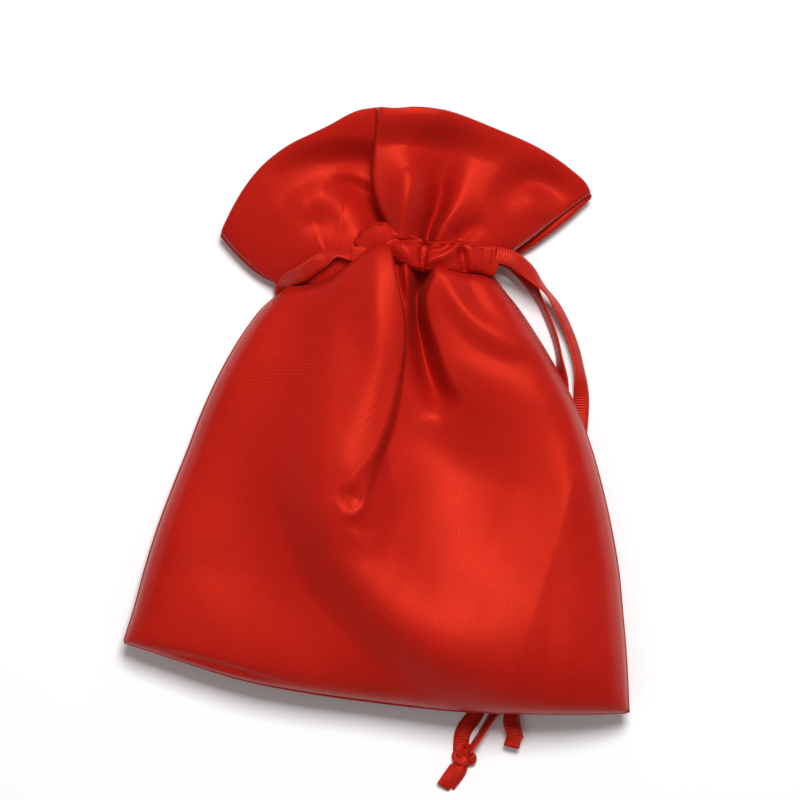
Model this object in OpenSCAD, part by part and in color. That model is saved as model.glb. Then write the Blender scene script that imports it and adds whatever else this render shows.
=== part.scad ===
// Satin drawstring gift sack, lying on its back with its neck drawn closed.
// Millimetres. +X is to the sack's right, +Y towards its mouth, +Z up from the surface it lies on.

/* [Body] */
// Width of the body at the bottom, as it lies
body_w = 119; // [100:1:143]
// Length of the body from the lowest point of the bottom seam to the casing
body_l = 104; // [86:1:125]
// How much higher the left bottom corner lies than the lowest point of the bottom seam
corner_rise = 17; // [4:1:24]
// Height that the filled front panel stands above the side seams
puff = 14; // [10:1:18]
// Thickness of the cloth with its lining
wall = 0.8; // [0.6:0.1:1.2]
// Height of the side seams above the surface
side_seam_z = 5; // [4.5:0.5:7]
// Height of the bottom seam above the surface
bottom_seam_z = 7; // [6.5:0.5:9]

/* [Neck and casing] */
// Width of the drawn neck
neck_w = 52; // [44:1:62]
// How far the middle of the neck lies right of the middle of the body
neck_shift = 3.5; // [0:0.5:6]
// Width of the stitched casing, along the sack's length
casing_w = 8.5; // [7.2:0.1:10.5]
// Length of the gathered front casing
front_casing_l = 34; // [28:1:41]
// Length of the gathered back casing
back_casing_l = 46; // [38:1:50]
// Clear height of the neck between the two casings
neck_gap = 5.6; // [5:0.1:7]

/* [Frill] */
// Length of the frill, from the casing to the top of the middle lobe
frill_l = 31; // [25:1:38]
// Width of the frill from tip to tip
frill_w = 87.6; // [76:1:104]
// Height of the middle lobe above the frill's side seams
frill_puff = 11; // [8:1:14]

/* [Drawstrings] */
// Width of the ribbon
ribbon_w = 3.8; // [3.1:0.1:4.6]
// Thickness of the ribbon
ribbon_t = 0.5; // [0.4:0.1:0.6]
// Clearance around each ribbon in the casing, and between other neighbouring pieces
fit_gap = 0.3; // [0.2:0.05:0.4]
// Radius of each knot
knot_r = 2.2; // [2:0.1:2.5]
// Height of each knot
knot_h = 2.8; // [2.4:0.1:3]

/* [Stitching] */
// Length of one stitch
stitch_l = 2; // [1.5:0.1:2.5]
// Thread thickness
thread_d = 0.4; // [0.3:0.05:0.5]
// Width of the turned-in seam edges inside the sack
allowance_w = 4; // [3:0.5:5]
// Thickness of the turned-in seam edges
allowance_t = 0.8; // [0.5:0.1:1]

/* [Hidden] */

satin = [0.76, 0.11, 0.09];
satin_shade = [0.66, 0.09, 0.08];
ribbon_red = [0.70, 0.10, 0.09];
thread_red = [0.58, 0.07, 0.06];

// grid cells across and along each panel
body_cols = 30;
body_rows = 26;
frill_cols = 24;
frill_rows = 9;

// lines across the sack
bottom_y = -71.4;
neck_y = bottom_y + body_l;
casing_top_y = neck_y + casing_w;
frill_y = casing_top_y + fit_gap;
left_corner = [-body_w / 2 - 0.2, bottom_y + corner_rise];
right_corner = [body_w / 2 - 0.2, bottom_y + 0.4];
neck_dip = 2.7;
neck_left = [neck_shift - neck_w / 2, neck_y - neck_dip];
neck_right = [neck_shift + neck_w / 2, neck_y];

// how the edges of the body bow: [share of the width, height above the bottom line] along the bottom, and
// [share of the way up, x offset, y offset] on the left and right
bottom_bow = [[-0.21, 3.4], [0.13, -0.6]];
left_bow = [[0.36, -6, 1], [0.72, -5, 2]];
right_bow = [[0.3, 11, -2], [0.72, 15, 3]];
neck_curl = 0.3;

// the frill's tips, and how its top edge bows between them: [x offset, share of the frill's length]
frill_left = [neck_shift + 3.3 - frill_w / 2, frill_y + 0.3];
frill_right = [frill_left[0] + frill_w, frill_y + 9.7];
frill_bow = [[5, 0.9], [45, 1.44]];
frill_root_inset = 2;
frill_seam_z = 4;
frill_crown = 2;
frill_lobe_at = 0.52;
frill_lobe_w = 0.14;
frill_back_fall = 0.16;

// the ribbons lie one on the other in each casing
slot_h = 2 * ribbon_t + 3 * fit_gap;
casing_t = slot_h + 2 * wall;
back_casing_z = 1.4;
front_casing_z = back_casing_z + casing_t + neck_gap;
casing_end_inset = 1.5;
casing_right_x = neck_right[0] - casing_end_inset;
run_end_gap = 1;
lower_ribbon = wall + fit_gap + ribbon_t / 2;
upper_ribbon = lower_ribbon + ribbon_t + fit_gap;
ribbon_y = neck_y + casing_w / 2;
upper_row_y = casing_top_y - wall / 2;
lower_row_y = neck_y + wall / 2;
stitch_pitch = stitch_l * 1.3;
stitch_end_gap = 1;

// how far inside the panels' edges the turned-in seam edges lie, and the share of each side that they cover
seam_inset = 3.6;
side_seam_share = [0.1, 0.92];
bottom_seam_share = [0.1, 0.9];
frill_seam_share = [0.3, 0.95];
frill_seam_inset = [0.05, 0.1];

// the underside rests on three flat patches [x, y, radius], and stands clear of the ribbons elsewhere
feet = [[-34, -30, 13], [24, -36, 5], [16, 4, 9]];
foot_ramp = 6;
lift = 1.6;
side_fall = 10;
bottom_fall = 24;

// the long pleat: [x, y] where it ends in a dimple and where it reaches the neck
pleat_low = [-3, -23];
pleat_high = [4, neck_y];
ridge_h = 2.6;
valley_d = 2.6;
ridge_half_w = 6;

// routes of the four free strands, from the casing to the knot, on the surface and under the sack
right_outer_route = [
    [28, 36.85, 11.85], [31.5, 36, 11.2], [35, 33.6, 9.4], [38.6, 30, 7.2], [42, 25.6, 4.6],
    [45, 20, 2.2], [47.4, 13, 0.8], [48.4, 5, 0.35], [48, -5, 0.35], [46.4, -16, 0.35],
    [44, -28, 0.35], [41, -39, 0.35], [37.8, -49, 0.35], [34.8, -58, 0.35], [31.6, -66, 0.35],
    [27.6, -71.6, 0.35], [24.6, -76.4, 0.35], [21.6, -80.8, 0.6]
];
right_inner_route = [
    [28, 36.85, 3.55], [31.5, 35.6, 3.5], [34.8, 32.4, 3.2], [37.4, 28.2, 2.6], [40, 23, 1.6],
    [42.4, 16.5, 0.7], [43.6, 8.5, 0.35], [43, -2, 0.35], [41, -13, 0.35], [38.4, -24, 0.35],
    [35.6, -35, 0.35], [32.2, -46, 0.35], [28.8, -56, 0.35], [25.6, -65, 0.35], [23.4, -71.6, 0.35],
    [20.2, -76.6, 0.35], [19.8, -80.6, 0.6]
];
left_front_route = [
    [-6, 36.85, 12.65], [-9.6, 37, 12.7], [-13.4, 35.4, 12], [-17, 33.6, 10.2], [-20.2, 32.4, 7],
    [-22.2, 30.8, 3.6], [-22, 28.2, 1.3], [-20, 24.6, 0.4], [-16.4, 15, 0.35], [-12.8, 4, 0.35],
    [-8.8, -8, 0.35], [-4.6, -20, 0.35], [0.4, -31, 0.35], [6.4, -41, 0.4], [13.4, -49, 0.7],
    [20.6, -55, 1.2], [29.4, -60.3, 1.7]
];
left_back_route = [
    [-18, 36.85, 2.75], [-20.4, 35.8, 2.3], [-21, 33, 1.2], [-19, 29.6, 0.45], [-15, 25.4, 0.35],
    [-11, 15.4, 0.35], [-7, 4, 0.35], [-3, -8, 0.35], [1, -19, 0.35], [6, -30, 0.35],
    [12, -39.4, 0.4], [18.6, -46.4, 0.7], [24.6, -52.6, 1.3], [30.1, -59.3, 2.4]
];
right_knot_at = [20.6, -81.8, knot_h / 2 + 0.1];
left_knot_at = [31, -61, knot_h / 2 + 0.9];

function mix(a, b, t) = a + (b - a) * t;
function ease(t) = let (c = max(0, min(1, t))) c * c * (3 - 2 * c);
function bell(t) = exp(-t * t);
function unit(p) = p / norm(p);
function bezier(p, t) =
    pow(1 - t, 3) * p[0] + 3 * pow(1 - t, 2) * t * p[1] + 3 * (1 - t) * t * t * p[2] + pow(t, 3) * p[3];

// the four edges of the body as it lies, seen from above
function bowed(a, b, bow) = concat([a], [for (q = bow) mix(a, b, q[0]) + [q[1], q[2]]], [b]);
bottom_edge = concat(
    [left_corner], [for (q = bottom_bow) [body_w * q[0], bottom_y + q[1]]], [right_corner]
);
left_edge = bowed(left_corner, neck_left, left_bow);
right_edge = bowed(right_corner, neck_right, right_bow);
function neck_edge(u) = [mix(neck_left[0], neck_right[0], u), mix(neck_left[1], neck_y, ease(u / neck_curl))];

// a patch stretched between its four edges: u runs left to right and v from the bottom to the neck
function body_plan(u, v) =
    (1 - v) * bezier(bottom_edge, u) + v * neck_edge(u)
    + (1 - u) * bezier(left_edge, v) + u * bezier(right_edge, v)
    - (1 - v) * mix(left_corner, right_corner, u) - v * mix(neck_left, neck_right, u);

function seam_z(v) = mix(bottom_seam_z, side_seam_z, ease(v / 0.25));
function body_arch(u) = pow(max(0, 1 - pow(2 * u - 1, 2)), 0.7);
neck_rise = front_casing_z + casing_t - side_seam_z - fit_gap / 2 - wall;
function body_rise(v) = puff * pow(max(0, sin(180 * pow(v, 0.8))), 0.8) + neck_rise * ease(v);

// the pleat is a ridge with a valley on its right, fading out at the dimple
function pleat_z(p) =
    let (t = (p[1] - pleat_low[1]) / (pleat_high[1] - pleat_low[1]))
    let (x = p[0] - mix(pleat_low[0], pleat_high[0], t))
    let (fade = ease(t) * (1 - 0.6 * ease((t - 0.75) / 0.25)))
    fade * (ridge_h * bell((x + 1) / ridge_half_w) - valley_d * bell((x - ridge_half_w) / (ridge_half_w * 0.7)));

function front_z(u, v) =
    seam_z(v) + fit_gap / 2 + wall + body_rise(v) * body_arch(u) + pleat_z(body_plan(u, v)) * body_arch(u);

function foot_z(p) =
    lift * min([for (f = feet) ease((norm([p[0] - f[0], p[1] - f[1]]) - f[2]) / foot_ramp)]);
function back_z(u, v) =
    let (p = body_plan(u, v))
    let (width = norm(body_plan(1, v) - body_plan(0, v)))
    let (side = ease(min(u, 1 - u) * width / side_fall))
    let (up = ease((p[1] - bezier(bottom_edge, u)[1]) / bottom_fall))
    mix(seam_z(v) - fit_gap / 2 - wall, foot_z(p), side * up);

// the frill spreads from the casing to its top edge
frill_top = concat([frill_left], [for (q = frill_bow) frill_left + [q[0], frill_l * q[1]]], [frill_right]);
function frill_plan(u, v) =
    mix([mix(neck_left[0] + frill_root_inset, neck_right[0], u), frill_y], bezier(frill_top, u), v);
function frill_arch(u) = pow(max(0, sin(180 * u)), 0.6);
function frill_back_z(u, v) =
    mix(frill_seam_z - fit_gap / 2 - wall, fit_gap, ease(min(u, 1 - u) / frill_back_fall));
function frill_front_z(u, v) =
    let (root = front_casing_z + casing_t - frill_seam_z - fit_gap / 2 - wall)
    let (lobe = frill_puff * (0.45 + 0.55 * bell((u - frill_lobe_at) / frill_lobe_w)))
    let (crown = frill_crown * sin(180 * v))
    frill_seam_z + fit_gap / 2 + wall + frill_arch(u) * (mix(root, lobe, ease(v)) + crown);

// a closed shell between an upper and a lower grid of points, each a list of rows
module shell(upper, lower) {
    rows = len(upper) - 1;
    cols = len(upper[0]) - 1;
    n = (rows + 1) * (cols + 1);
    function at(i, j) = i * (cols + 1) + j;
    points = concat([for (r = upper) each r], [for (r = lower) each r]);
    top = [for (i = [0 : rows - 1], j = [0 : cols - 1])
        each [[at(i, j), at(i + 1, j), at(i + 1, j + 1)], [at(i, j), at(i + 1, j + 1), at(i, j + 1)]]];
    under = [for (f = top) [f[2] + n, f[1] + n, f[0] + n]];
    rim = concat(
        [for (j = [0 : cols - 1]) [at(0, j), at(0, j + 1)]],
        [for (i = [0 : rows - 1]) [at(i, cols), at(i + 1, cols)]],
        [for (j = [cols : -1 : 1]) [at(rows, j), at(rows, j - 1)]],
        [for (i = [rows : -1 : 1]) [at(i, 0), at(i - 1, 0)]]
    );
    walls = [for (e = rim) each [[e[0], e[1], e[1] + n], [e[0], e[1] + n, e[0] + n]]];
    polyhedron(points, concat(top, under, walls));
}

// a flat ribbon swept along a route, lying level across
module ribbon(route) {
    outline = [[1, -0.4], [1, 0.4], [0.86, 1], [-0.86, 1], [-1, 0.4], [-1, -0.4], [-0.86, -1], [0.86, -1]];
    last = len(route) - 1;
    function along(i) = unit(route[min(i + 1, last)] - route[max(i - 1, 0)]);
    function across(i) = unit(cross([0, 0, 1], i == 0 ? [along(0)[0] < 0 ? -1 : 1, 0, 0] : along(i)));
    function ring(i) =
        let (side = across(i))
        let (up = i == 0 ? [0, 0, 1] : cross(along(i), side))
        [for (q = outline) route[i] + side * q[0] * ribbon_w / 2 + up * q[1] * ribbon_t / 2];
    m = len(outline);
    points = [for (i = [0 : last]) each ring(i)];
    sides = [for (i = [0 : last - 1], k = [0 : m - 1])
        let (a = i * m + k, b = i * m + (k + 1) % m)
        each [[a, b, b + m], [a, b + m, a + m]]];
    caps = [[for (k = [m - 1 : -1 : 0]) k], [for (k = [0 : m - 1]) last * m + k]];
    polyhedron(points, concat(sides, caps));
}

module front_panel() {
    color(satin)
    shell(
        [for (i = [0 : body_rows]) [for (j = [0 : body_cols])
            let (u = j / body_cols, v = i / body_rows) [each body_plan(u, v), front_z(u, v)]]],
        [for (i = [0 : body_rows]) [for (j = [0 : body_cols])
            let (u = j / body_cols, v = i / body_rows) [each body_plan(u, v), front_z(u, v) - wall]]]
    );
}

module back_panel() {
    color(satin_shade)
    shell(
        [for (i = [0 : body_rows]) [for (j = [0 : body_cols])
            let (u = j / body_cols, v = i / body_rows) [each body_plan(u, v), back_z(u, v) + wall]]],
        [for (i = [0 : body_rows]) [for (j = [0 : body_cols])
            let (u = j / body_cols, v = i / body_rows) [each body_plan(u, v), back_z(u, v)]]]
    );
}

module front_frill() {
    color(satin)
    shell(
        [for (i = [0 : frill_rows]) [for (j = [0 : frill_cols])
            let (u = j / frill_cols, v = i / frill_rows) [each frill_plan(u, v), frill_front_z(u, v)]]],
        [for (i = [0 : frill_rows]) [for (j = [0 : frill_cols])
            let (u = j / frill_cols, v = i / frill_rows) [each frill_plan(u, v), frill_front_z(u, v) - wall]]]
    );
}

module back_frill() {
    color(satin_shade)
    shell(
        [for (i = [0 : frill_rows]) [for (j = [0 : frill_cols])
            let (u = j / frill_cols, v = i / frill_rows) [each frill_plan(u, v), frill_back_z(u, v) + wall]]],
        [for (i = [0 : frill_rows]) [for (j = [0 : frill_cols])
            let (u = j / frill_cols, v = i / frill_rows) [each frill_plan(u, v), frill_back_z(u, v)]]]
    );
}

// a casing is a flat tube, open at both ends where the ribbons run out
module casing(length, z) {
    translate([casing_right_x - length, neck_y, z])
    difference() {
        cube([length, casing_w, casing_t]);
        translate([-1, wall, wall]) cube([length + 2, casing_w - 2 * wall, slot_h]);
    }
}

module front_casing() {
    color(satin) casing(front_casing_l, front_casing_z);
}

module back_casing() {
    color(satin_shade) casing(back_casing_l, back_casing_z);
}

// one row of stitches lying on a casing
module stitch_row(length, y, z) {
    count = floor((length - 2 * stitch_end_gap) / stitch_pitch);
    for (k = [0 : count - 1])
        translate([casing_right_x - stitch_end_gap - stitch_l - k * stitch_pitch, y - thread_d / 2, z])
            cube([stitch_l, thread_d, thread_d]);
}

module front_upper_stitches() {
    color(thread_red) stitch_row(front_casing_l, upper_row_y, front_casing_z + casing_t);
}

module front_lower_stitches() {
    color(thread_red) stitch_row(front_casing_l, lower_row_y, front_casing_z + casing_t);
}

module back_upper_stitches() {
    color(thread_red) stitch_row(back_casing_l, upper_row_y, back_casing_z - thread_d);
}

module back_lower_stitches() {
    color(thread_red) stitch_row(back_casing_l, lower_row_y, back_casing_z - thread_d);
}

// turned-in edges of a side seam, half way between the two panels and a little inside their edge
function inside_z(u, v) = (front_z(u, v) + back_z(u, v)) / 2;
module side_seam(sign) {
    rows = 18;
    function place(i, inset) =
        let (v = mix(side_seam_share[0], side_seam_share[1], i / rows))
        let (width = norm(body_plan(1, v) - body_plan(0, v)))
        let (u = sign < 0 ? inset / width : 1 - inset / width)
        [each body_plan(u, v), inside_z(u, v)];
    function row(i, dz) =
        let (outer = place(i, seam_inset) + [0, 0, dz], inner = place(i, seam_inset + allowance_w) + [0, 0, dz])
        sign < 0 ? [outer, inner] : [inner, outer];
    shell([for (i = [0 : rows]) row(i, allowance_t / 2)], [for (i = [0 : rows]) row(i, -allowance_t / 2)]);
}

module left_side_seam() {
    color(satin_shade) side_seam(-1);
}

module right_side_seam() {
    color(satin_shade) side_seam(1);
}

module bottom_seam() {
    cols = 20;
    function place(j, inset) =
        let (u = mix(bottom_seam_share[0], bottom_seam_share[1], j / cols), v = inset / body_l)
        [each body_plan(u, v), inside_z(u, v)];
    function row(inset, dz) = [for (j = [0 : cols]) place(j, inset) + [0, 0, dz]];
    color(satin_shade)
    shell(
        [row(seam_inset, allowance_t / 2), row(seam_inset + allowance_w, allowance_t / 2)],
        [row(seam_inset, -allowance_t / 2), row(seam_inset + allowance_w, -allowance_t / 2)]
    );
}

module frill_seam(sign) {
    rows = 6;
    function place(i, share) =
        let (v = mix(frill_seam_share[0], frill_seam_share[1], i / rows), u = sign < 0 ? share : 1 - share)
        [each frill_plan(u, v), (frill_front_z(u, v) + frill_back_z(u, v)) / 2];
    function row(i, dz) =
        let (outer = place(i, frill_seam_inset[0]) + [0, 0, dz], inner = place(i, frill_seam_inset[1]) + [0, 0, dz])
        sign < 0 ? [outer, inner] : [inner, outer];
    shell([for (i = [0 : rows]) row(i, allowance_t / 2)], [for (i = [0 : rows]) row(i, -allowance_t / 2)]);
}

module left_frill_seam() {
    color(satin_shade) frill_seam(-1);
}

module right_frill_seam() {
    color(satin_shade) frill_seam(1);
}

// straight run of one ribbon inside a casing
module ribbon_run(x0, x1, z) {
    translate([x0, ribbon_y - ribbon_w / 2, z - ribbon_t / 2]) cube([x1 - x0, ribbon_w, ribbon_t]);
}

module right_drawstring_run() {
    color(ribbon_red) {
        ribbon_run(casing_right_x - front_casing_l + run_end_gap, casing_right_x, front_casing_z + lower_ribbon);
        ribbon_run(casing_right_x - back_casing_l + run_end_gap, casing_right_x, back_casing_z + upper_ribbon);
    }
}

module left_drawstring_run() {
    color(ribbon_red) {
        ribbon_run(casing_right_x - front_casing_l, casing_right_x - run_end_gap, front_casing_z + upper_ribbon);
        ribbon_run(casing_right_x - back_casing_l, casing_right_x - run_end_gap, back_casing_z + lower_ribbon);
    }
}

module right_outer_strand() {
    color(ribbon_red) ribbon(right_outer_route);
}

module right_inner_strand() {
    color(ribbon_red) ribbon(right_inner_route);
}

module left_front_strand() {
    color(ribbon_red) ribbon(left_front_route);
}

module left_back_strand() {
    color(ribbon_red) ribbon(left_back_route);
}

// a pulled-tight overhand knot: an oval bead
module knot(at) {
    steps = 12;
    translate(at)
    rotate_extrude($fn = 32)
        polygon([for (k = [0 : steps])
            let (a = mix(-90, 90, k / steps)) [knot_r * max(0, cos(a)), knot_h / 2 * sin(a)]]);
}

module right_knot() {
    color(ribbon_red) knot(right_knot_at);
}

module left_knot() {
    color(ribbon_red) knot(left_knot_at);
}

// the two cut ends beyond a knot, one lying on the other
module tails(outline, z) {
    for (k = [0, 1])
        translate([0, 0, z + k * (ribbon_t + fit_gap / 2)])
            linear_extrude(ribbon_t) polygon(outline);
}

module right_tails() {
    color(ribbon_red) tails([[19.2, -82.6], [22, -83.8], [18, -89.2], [15, -87]], 0.2);
}

module left_tails() {
    color(ribbon_red) tails([[29.2, -62], [32.8, -62], [34, -70], [33.6, -76], [32.6, -79.4], [30, -75]], 1.1);
}

front_panel();
back_panel();
front_casing();
back_casing();
front_frill();
back_frill();
left_side_seam();
right_side_seam();
bottom_seam();
left_frill_seam();
right_frill_seam();
front_upper_stitches();
front_lower_stitches();
back_upper_stitches();
back_lower_stitches();
right_drawstring_run();
right_outer_strand();
right_inner_strand();
right_knot();
right_tails();
left_drawstring_run();
left_front_strand();
left_back_strand();
left_knot();
left_tails();
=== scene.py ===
# Satin drawstring gift sack lying on its back, its neck drawn closed.
# +X is to the sack's right, +Y towards its mouth and +Z up from the surface that it lies on.
import math

import bpy
import numpy as np
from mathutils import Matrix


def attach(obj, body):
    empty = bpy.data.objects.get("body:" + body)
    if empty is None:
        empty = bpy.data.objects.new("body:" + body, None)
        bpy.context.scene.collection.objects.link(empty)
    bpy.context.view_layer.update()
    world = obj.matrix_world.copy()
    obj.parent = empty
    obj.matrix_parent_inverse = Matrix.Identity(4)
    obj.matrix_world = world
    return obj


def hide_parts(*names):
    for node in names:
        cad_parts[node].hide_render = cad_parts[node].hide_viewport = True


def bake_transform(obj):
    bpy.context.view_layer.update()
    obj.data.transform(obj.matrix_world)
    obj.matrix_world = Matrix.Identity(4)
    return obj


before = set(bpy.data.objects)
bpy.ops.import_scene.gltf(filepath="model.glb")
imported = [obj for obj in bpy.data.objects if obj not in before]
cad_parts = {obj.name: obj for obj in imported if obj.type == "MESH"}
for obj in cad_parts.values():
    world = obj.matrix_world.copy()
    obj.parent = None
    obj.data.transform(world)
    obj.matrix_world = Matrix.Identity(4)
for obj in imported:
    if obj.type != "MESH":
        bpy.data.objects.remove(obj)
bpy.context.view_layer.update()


# ---- Studio ------------------------------------------------------------------------------------------
# The sack lies on a white table top and is seen from straight above through a long lens. One broad soft
# light stands behind its mouth, a little to its right, and a weaker one fills in from the other side.
scene = bpy.context.scene
scene.view_settings.view_transform = "Standard"

LENS_MM = 200
SENSOR_MM = 36
FRAMED_WIDTH = 0.1888
FRAME_CENTRE = (0.0054, 0.0027)
FRAMED_HEIGHT = 0.007

camera_data = bpy.data.cameras.new("camera")
camera_data.lens = LENS_MM
camera_data.sensor_width = SENSOR_MM
camera_data.clip_end = 20
camera = bpy.data.objects.new("camera", camera_data)
camera.location = (*FRAME_CENTRE, FRAMED_HEIGHT + FRAMED_WIDTH * LENS_MM / SENSOR_MM)
scene.collection.objects.link(camera)
scene.camera = camera


def light(name, at, aim, size, power):
    """A square soft light of that size, at one point and facing another."""
    data = bpy.data.lights.new(name, "AREA")
    data.size = size
    data.energy = power
    lamp = bpy.data.objects.new(name, data)
    scene.collection.objects.link(lamp)
    lamp.location = at
    away = np.subtract(at, aim)
    flat = math.hypot(away[0], away[1])
    lamp.rotation_euler = (math.atan2(flat, away[2]), 0, math.atan2(away[0], -away[1]))


light("key_light", (0.13, 0.5, 1.0), (0, 0, 0), 0.4, 12.5)
light("fill_light", (-0.5, -0.4, 1.0), (0, 0, 0), 0.7, 1.0)


def linear(hex_colour):
    """An sRGB hex colour as linear red, green, blue and alpha."""
    part = [int(hex_colour[k : k + 2], 16) / 255 for k in (1, 3, 5)]
    return (*[c / 12.92 if c <= 0.04045 else ((c + 0.055) / 1.055) ** 2.4 for c in part], 1)


def add(tree, kind, links=(), **settings):
    """Adds a node to a material. Settings that name an input set it, others are the node's own, and each
    link is (output of another node, name of this node's input)."""
    node = tree.nodes.new(kind)
    for key, value in settings.items():
        named = [s for s in node.inputs if s.enabled and s.name.lower() == key.replace("_", " ")]
        if named:
            named[0].default_value = value
        else:
            setattr(node, key, value)
    for output, name in links:
        tree.links.new(output, node.inputs[name])
    return node


def new_material(name):
    """An empty material with a Principled shader, given back with its node tree."""
    material = bpy.data.materials.new(name)
    material.use_nodes = True
    tree = material.node_tree
    return material, tree, tree.nodes["Principled BSDF"]


# White laminate table top: smooth, with a faint mottle that keeps it from looking empty.
table_top, tree, shader = new_material("white_laminate")
place = add(tree, "ShaderNodeTexCoord")
mottle = add(tree, "ShaderNodeTexNoise", [(place.outputs["Object"], "Vector")], scale=9, detail=3)
tone = add(tree, "ShaderNodeValToRGB", [(mottle.outputs["Fac"], "Fac")])
tone.color_ramp.elements[0].color = linear("#f7f7f7")
tone.color_ramp.elements[1].color = linear("#fdfdfd")
tree.links.new(tone.outputs["Color"], shader.inputs["Base Color"])
shader.inputs["Roughness"].default_value = 0.6

floor_mesh = bpy.data.meshes.new("table_top")
floor_mesh.from_pydata([(-3, -3, 0), (3, -3, 0), (3, 3, 0), (-3, 3, 0)], [], [(0, 1, 2, 3)])
floor_mesh.materials.append(table_top)
floor = bpy.data.objects.new("table_top", floor_mesh)
scene.collection.objects.link(floor)

world = bpy.data.worlds.new("studio")
world.use_nodes = True
world.node_tree.nodes["Background"].inputs["Color"].default_value = linear("#ffffff")
world.node_tree.nodes["Background"].inputs["Strength"].default_value = 0.22
scene.world = world


# ---- Drawstrings -------------------------------------------------------------------------------------
# Two narrow double-faced satin ribbons, woven from polyester. Each runs through both casings, leaves at
# one side as two strands, and is knotted on itself. The strands lie limp beside and under the sack.
MM = 0.001
RIBBON_W = 3.8
RIBBON_T = 0.5
RING_STEP = 0.5
TABLE_GAP = 0.05
RIBBON_Y = 36.85


def ease(t):
    """A smooth step from 0 at t = 0 to 1 at t = 1: 3t^2 - 2t^3, held level outside."""
    c = np.clip(t, 0, 1)
    return c * c * (3 - 2 * c)


def through(points, t):
    """A smooth curve through the points, at shares t of its chord length: cubic pieces whose slope at a
    point is that of the parabola through it and its two neighbours, and at an end that of the chord."""
    p = np.asarray(points, float)
    chord = np.concatenate([[0], np.cumsum(np.linalg.norm(np.diff(p, axis=0), axis=1))])
    chord /= chord[-1]
    slope = np.gradient(p, chord, axis=0)
    t = np.asarray(t, float)
    i = np.clip(np.searchsorted(chord, t, side="right") - 1, 0, len(p) - 2)
    w = (chord[i + 1] - chord[i])[..., None]
    s = (t[..., None] - chord[i][..., None]) / w
    return (
        (1 + 2 * s) * (1 - s) ** 2 * p[i]
        + s * (1 - s) ** 2 * w * slope[i]
        + s * s * (3 - 2 * s) * p[i + 1]
        + s * s * (s - 1) * w * slope[i + 1]
    )


def steps_between(rows, cols, wrap):
    """The four-cornered faces of a grid of points, whose columns close into a ring if wrap is set."""
    i, j = np.meshgrid(np.arange(rows - 1), np.arange(cols if wrap else cols - 1), indexing="ij")
    k = (j + 1) % cols
    corners = [i * cols + j, i * cols + k, (i + 1) * cols + k, (i + 1) * cols + j]
    return np.stack(corners, -1).reshape(-1, 4)


def make_piece(name, points, faces, uv, material):
    """A mesh object from points and faces in millimetres, with its UV map in metres of cloth."""
    mesh = bpy.data.meshes.new(name)
    mesh.from_pydata((points * MM).tolist(), [], [list(map(int, f)) for f in faces])
    layer = mesh.uv_layers.new(name="cloth")
    corner = np.empty(len(mesh.loops), np.int32)
    mesh.loops.foreach_get("vertex_index", corner)
    layer.data.foreach_set("uv", (uv[corner] * MM).astype(np.float32).ravel())
    mesh.materials.append(material)
    mesh.polygons.foreach_set("use_smooth", [True] * len(mesh.polygons))
    mesh.validate()
    piece = bpy.data.objects.new(name, mesh)
    scene.collection.objects.link(piece)
    return piece


# Satin ribbon: dyed polyester with fine ribs across it and a firmer woven edge. It gives a silky light
# along its length. The ribs are drawn 0.6 mm apart, coarser than the real 0.25 mm, so that they show.
satin_ribbon, tree, shader = new_material("red_satin_ribbon")
place = add(tree, "ShaderNodeUVMap", uv_map="cloth")
to_mm = add(tree, "ShaderNodeMapping", [(place.outputs["UV"], "Vector")], scale=(1000, 1000, 1000))
ribs = add(
    tree, "ShaderNodeTexWave", [(to_mm.outputs["Vector"], "Vector")],
    bands_direction="Y", scale=0.52, distortion=0.6, detail=2, detail_scale=1.5,
)
split = add(tree, "ShaderNodeSeparateXYZ", [(to_mm.outputs["Vector"], "Vector")])
from_middle = add(tree, "ShaderNodeMath", [(split.outputs["X"], 0)], operation="ABSOLUTE")
selvedge = add(
    tree, "ShaderNodeMapRange", [(from_middle.outputs[0], "Value")], from_min=1.35, from_max=1.75,
)
worn = add(tree, "ShaderNodeTexNoise", [(to_mm.outputs["Vector"], "Vector")], scale=0.35, detail=4)
tone = add(tree, "ShaderNodeValToRGB", [(worn.outputs["Fac"], "Fac")])
tone.color_ramp.elements[0].color = linear("#a3170f")
tone.color_ramp.elements[0].position = 0.3
tone.color_ramp.elements[1].color = linear("#b92116")
tone.color_ramp.elements[1].position = 0.7
edge_tone = add(
    tree, "ShaderNodeMix", [(selvedge.outputs["Result"], 0), (tone.outputs["Color"], 6)],
    data_type="RGBA",
)
edge_tone.inputs[7].default_value = linear("#c42a1c")
tree.links.new(edge_tone.outputs[2], shader.inputs["Base Color"])
shine = add(tree, "ShaderNodeMapRange", [(ribs.outputs["Fac"], "Value")], to_min=0.34, to_max=0.52)
tree.links.new(shine.outputs["Result"], shader.inputs["Roughness"])
height = add(
    tree, "ShaderNodeMath", [(ribs.outputs["Fac"], 0), (selvedge.outputs["Result"], 1)], operation="ADD",
)
relief = add(tree, "ShaderNodeBump", [(height.outputs[0], "Height")], strength=0.55, distance=0.00012)
tree.links.new(relief.outputs["Normal"], shader.inputs["Normal"])
shader.inputs["Specular IOR Level"].default_value = 1.0
shader.inputs["Specular Tint"].default_value = linear("#ff5a40")
shader.inputs["Sheen Weight"].default_value = 0.08
shader.inputs["Sheen Tint"].default_value = linear("#ff7a5c")


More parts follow.
